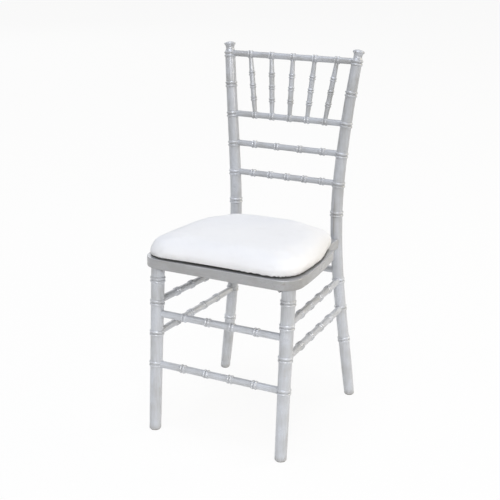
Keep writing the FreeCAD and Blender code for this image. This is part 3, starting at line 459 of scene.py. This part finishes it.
# Where use has pushed the pad: the place across and back, how far it is felt, and the shift.
SETTLING = [
    ((-0.200, 0.030), 0.150, (-0.0105, -0.0035, 0.0)),
    ((0.185, 0.180), 0.130, (0.0040, 0.0, 0.0)),
    ((0.140, 0.320), 0.090, (0.0065, -0.0030, -0.0105)),
    ((-0.140, 0.320), 0.090, (0.0015, 0.0, -0.0040)),
    ((0.0, 0.180), 0.220, (0.0, 0.0, -0.0050)),
]
FLAT_BELOW = 0.020
SHOULDER = 0.045
SMOOTHING = 12
COVER_STAND = 0.0022
COVER_GAP = 0.0013
PAD_MIDDLE = 0.18

HEM_BAND = 0.0035
HEM_HEIGHT = 0.0046
HEM_TUCK = 0.0012
HEM_FOLD = 0.0010
HEM_FOLD_PITCH = 0.0065
EVEN_FOLD = 0.25
CORNER_START = 0.35
SLOW_FOLD = 0.5
SLOW_FOLD_RATE = 0.37
SLOW_FOLD_START = 1.0
FRONT_RISE = 1.6
FRONT_FOCUS = 4


def applied(piece):
    """The piece's mesh with its modifiers worked in, in place of the old mesh."""
    depsgraph = bpy.context.evaluated_depsgraph_get()
    mesh = bpy.data.meshes.new_from_object(piece.evaluated_get(depsgraph))
    piece.modifiers.clear()
    old = piece.data
    piece.data = mesh
    bpy.data.meshes.remove(old)
    return mesh


def falloff(distance, reach):
    """1 at no distance, easing to 0 at the reach."""
    near = max(0.0, 1.0 - distance / reach)
    return near * near * (3 - 2 * near)


def drawn_down(form, rim, height, inward=0.0, fold=0.0):
    """Extrude an open rim to a height, drawn in and with small folds at the corners."""
    made = bmesh.ops.extrude_edge_only(form, edges=rim)["geom"]
    next_rim = [item for item in made if isinstance(item, bmesh.types.BMEdge) and item.is_boundary]
    for vert in {vert for edge in next_rim for vert in edge.verts}:
        across, back = vert.co.x, vert.co.y - PAD_MIDDLE
        bearing = math.atan2(back, across)
        outward = Vector((math.cos(bearing), math.sin(bearing), 0))
        cornering = max(0.0, abs(math.sin(2 * bearing)) - CORNER_START)
        turn = math.hypot(across, back) * bearing / HEM_FOLD_PITCH * 2 * math.pi
        wave = math.sin(turn) + SLOW_FOLD * math.sin(SLOW_FOLD_RATE * turn + SLOW_FOLD_START)
        front = max(0.0, -math.sin(bearing)) ** FRONT_FOCUS
        vert.co -= outward * inward
        vert.co.z = height + fold * (EVEN_FOLD + cornering) * wave + fold * FRONT_RISE * front
    return next_rim


cover = Finish("stretch_cover")
rib = cover.node(
    "ShaderNodeTexWave", {"wave_type": "BANDS", "bands_direction": "X"},
    {"Vector": cover.place, "Scale": 420.0, "Distortion": 0.6, "Detail": 1.0},
)
course = cover.node(
    "ShaderNodeTexWave", {"wave_type": "BANDS", "bands_direction": "DIAGONAL"},
    {"Vector": cover.place, "Scale": 300.0, "Distortion": 0.8, "Detail": 1.0},
)
tension = cover.cloud(size=0.07, detail=2.0, shift=3.0)
soiling = cover.cloud(size=0.03, detail=4.0, shift=11.0).between(0.5, 0.8)
cover.wear(
    base_color=cover.blend(soiling * SOILING_SHARE, COVER_WHITE, COVER_SOILED),
    roughness=0.78 + 0.1 * rib,
    sheen_weight=0.25,
    sheen_roughness=0.4,
)
cover.relief(rib * 0.10 + course * 0.08 + tension * 4.0, distance=0.0012)

# The foam's own shape, reaching down to the cover's lower edge.
pad_form = node_form("cushion_foam", merge=FOAM_MERGE)
foam_low = min(vert.co.z for vert in pad_form.verts)
cover_low = side_boxes("cushion_cover")[0][0].z
for vert in pad_form.verts:
    if vert.co.z < foam_low + NEARLY_LEVEL:
        vert.co.z = cover_low
bmesh.ops.transform(pad_form, matrix=SEAT_PLACE, verts=pad_form.verts)
bmesh.ops.recalc_face_normals(pad_form, faces=pad_form.faces)
cushion = new_piece("seat_cushion", pad_form, cover.material)
even = cushion.modifiers.new("even_mesh", "REMESH")
even.mode = "VOXEL"
even.voxel_size = PAD_VOXEL
even.use_smooth_shade = True
start_points = [vert.co.copy() for vert in applied(cushion).vertices]

# The pad swells under pressure while its lower edge stays glued to the board.
to_seat = SEAT_PLACE.inverted()
glued_points = [
    vert.index for vert in cushion.data.vertices if (to_seat @ vert.co).z < cover_low + HEM_BAND
]
glued = cushion.vertex_groups.new(name="glued_to_board")
glued.add(glued_points, 1.0, "REPLACE")
stuffing = cushion.modifiers.new("stuffing", "CLOTH")
fabric = stuffing.settings
fabric.quality = 6
fabric.mass = 0.25
fabric.tension_stiffness = 20
fabric.compression_stiffness = 10
fabric.shear_stiffness = 10
fabric.bending_stiffness = 2
fabric.vertex_group_mass = glued.name
fabric.use_pressure = True
fabric.uniform_pressure_force = 4
fabric.effector_weights.gravity = 0
stuffing.collision_settings.use_collision = False
stuffing.point_cache.frame_start = 1
stuffing.point_cache.frame_end = SWELL_STEPS
for step in range(1, SWELL_STEPS + 1):
    bpy.context.scene.frame_set(step)
applied(cushion)
cushion.vertex_groups.clear()
for vert, start in zip(cushion.data.vertices, start_points):
    swell = vert.co - start
    if swell.length > SWELL_LIMIT:
        vert.co = start + swell.normalized() * SWELL_LIMIT
bpy.context.scene.frame_set(1)

# Use has settled it: each push shifts the pad sideways, and only its upper part sinks.
cover_form = bmesh.new()
cover_form.from_mesh(cushion.data)
bmesh.ops.transform(cover_form, matrix=SEAT_PLACE.inverted(), verts=cover_form.verts)
for vert in cover_form.verts:
    lift = min(1.0, max(0.0, (vert.co.z - FLAT_BELOW) / (SHOULDER - FLAT_BELOW)))
    shift = Vector()
    for (across, back), reach, push in SETTLING:
        share = falloff(math.hypot(vert.co.x - across, vert.co.y - back), reach)
        shift += Vector((push[0], push[1], push[2] * lift)) * share
    outward = Vector((vert.co.x, vert.co.y - PAD_MIDDLE, 0)).normalized()
    vert.co += shift + outward * COVER_STAND * (1 - lift)
pulled_smooth = [vert for vert in cover_form.verts if vert.co.z > FLAT_BELOW]
for repeat in range(SMOOTHING):
    bmesh.ops.smooth_vert(
        cover_form, verts=pulled_smooth, factor=0.5,
        use_axis_x=True, use_axis_y=True, use_axis_z=True,
    )

# The low part of the cover lies outside the board's edge, all the way round. The push also
# moves points of the pad's flat underside: those that it lifts past the cut below stay as
# closed loose parts inside the board, a fault that is still open.
board_form = node_form("cushion_board")
board_heights = [vert.co.z for vert in board_form.verts]
board_middle = (min(board_heights) + max(board_heights)) / 2
board_tree = BVHTree.FromBMesh(board_form)
board_form.free()
for vert in cover_form.verts:
    if vert.co.z < FLAT_BELOW:
        level = Vector((vert.co.x, vert.co.y, board_middle))
        wall, facing = board_tree.find_nearest(level)[:2]
        room = (level - wall).dot(facing)
        vert.co += facing * max(0.0, COVER_GAP - room)
bmesh.ops.bisect_plane(
    cover_form, geom=cover_form.verts[:] + cover_form.edges[:] + cover_form.faces[:],
    dist=SAME_POINT, plane_co=(0, 0, cover_low + HEM_BAND), plane_no=(0, 0, 1), clear_inner=True,
)

# The hem: down to its folded edge, tucked in, and up to the foam, where the form is closed.
rim = [edge for edge in cover_form.edges if edge.is_boundary]
bmesh.ops.subdivide_edges(cover_form, edges=rim, cuts=2, use_grid_fill=False)
bmesh.ops.triangulate(
    cover_form, faces=[face for face in cover_form.faces if len(face.verts) > 4],
)
rim = [edge for edge in cover_form.edges if edge.is_boundary]
rim = drawn_down(cover_form, rim, HEM_HEIGHT, fold=HEM_FOLD)
rim = drawn_down(cover_form, rim, HEM_HEIGHT, inward=HEM_TUCK, fold=HEM_FOLD)
rim = drawn_down(cover_form, rim, foam_low)
bmesh.ops.holes_fill(cover_form, edges=rim)
bmesh.ops.transform(cover_form, matrix=SEAT_PLACE, verts=cover_form.verts)
bmesh.ops.recalc_face_normals(cover_form, faces=cover_form.faces)
for face in cover_form.faces:
    face.smooth = True
cover_form.to_mesh(cushion.data)
cover_form.free()
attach(cushion, "cushion")
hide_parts("cushion_cover", "cushion_foam")


# Studio: a white paper floor that runs out of sight and an even white surround, with five
# soft lamps: above, in front, to the right, and behind the chair on both sides.

FLOOR_SPAN = 40
PAPER_WHITE = (0.88, 0.87, 0.85, 1)
PAPER_GLOW = 0.93
PURE_WHITE = (1, 1, 1, 1)
WALL_WARMTH = (1.0, 0.97, 0.92, 1)
WALL_LIGHT = 0.16
SEAT_MIDDLE = Vector((0, 0, 0.45))


class Surround(Finish):
    """The studio's walls, as the world's background."""

    def __init__(self, world):
        self.tree = world.node_tree
        self.shader = self.tree.nodes["Background"]


def seen_as_white(finish):
    """1 where the camera, a mirror or glass looks at the studio, and 0 for its light."""
    seen = finish.node("ShaderNodeLightPath", output="Is Camera Ray")
    mirrored = finish.node("ShaderNodeLightPath", output="Is Glossy Ray")
    through = finish.node("ShaderNodeLightPath", output="Is Transmission Ray")
    return finish.maths("MAXIMUM", seen, finish.maths("MAXIMUM", mirrored, through))


bpy.ops.mesh.primitive_plane_add(size=FLOOR_SPAN)
floor = bpy.context.object
floor.name = "floor"
paper = Finish("floor_paper")
paper.wear(base_color=PAPER_WHITE, roughness=0.9)
glow = paper.node("ShaderNodeEmission", {}, {"Color": PURE_WHITE, "Strength": 1.0})
lit = Value(paper, paper.shader.outputs["BSDF"])
white_share = seen_as_white(paper) * PAPER_GLOW
mixed = paper.node("ShaderNodeMixShader", {}, {0: white_share, 1: lit, 2: glow})
paper.feed(paper.tree.nodes["Material Output"].inputs["Surface"], mixed)
floor.data.materials.append(paper.material)

world = bpy.data.worlds.new("studio")
bpy.context.scene.world = world
world.use_nodes = True
walls = Surround(world)
white = seen_as_white(walls)
walls.feed(walls.shader.inputs["Color"], walls.blend(white, WALL_WARMTH, PURE_WHITE))
walls.feed(walls.shader.inputs["Strength"], walls.maths("MAXIMUM", white, WALL_LIGHT))


def soft_lamp(name, place, size, power, colour):
    """Rectangular soft light that faces the seat."""
    data = bpy.data.lights.new(name, "AREA")
    data.shape = "RECTANGLE"
    data.size, data.size_y = size
    data.energy = power
    data.color = colour
    lamp = bpy.data.objects.new(name, data)
    bpy.context.scene.collection.objects.link(lamp)
    lamp.location = place
    lamp.rotation_euler = (SEAT_MIDDLE - Vector(place)).to_track_quat("-Z", "Y").to_euler()


soft_lamp("top_lamp", (0.0, -0.8, 7.0), (4.0, 4.0), power=300, colour=(0.84, 0.89, 1.0))
soft_lamp("front_lamp", (3.8, -7.2, 4.2), (4.5, 1.2), power=355, colour=(1.0, 0.99, 0.98))
soft_lamp("right_lamp", (8.0, -1.5, 2.6), (3.0, 3.0), power=100, colour=(1.0, 0.94, 0.84))
soft_lamp("rear_lamp", (6.5, 5.4, 4.0), (3.0, 3.0), power=195, colour=(1.0, 0.86, 0.58))
soft_lamp("left_rear_lamp", (-6.0, 6.0, 3.5), (3.0, 3.0), power=70, colour=(0.96, 0.98, 1.0))


# Camera: the photograph's own, with a narrow view, 2.5 m from the chair on the sitter's
# left, and looking down on the seat. The two angles are in degrees.

CAMERA_PLACE = (1.083, -2.16285, 1.2515)
CAMERA_DOWN = 18.58
CAMERA_ROUND = 26.88

camera_data = bpy.data.cameras.new("camera")
camera_data.lens = 73.61
camera_data.sensor_width = 36.0
camera = bpy.data.objects.new("camera", camera_data)
bpy.context.scene.collection.objects.link(camera)
camera.location = CAMERA_PLACE
camera.rotation_euler = (math.radians(90 - CAMERA_DOWN), 0, math.radians(CAMERA_ROUND))
bpy.context.scene.camera = camera
bpy.context.scene.view_settings.view_transform = "Standard"
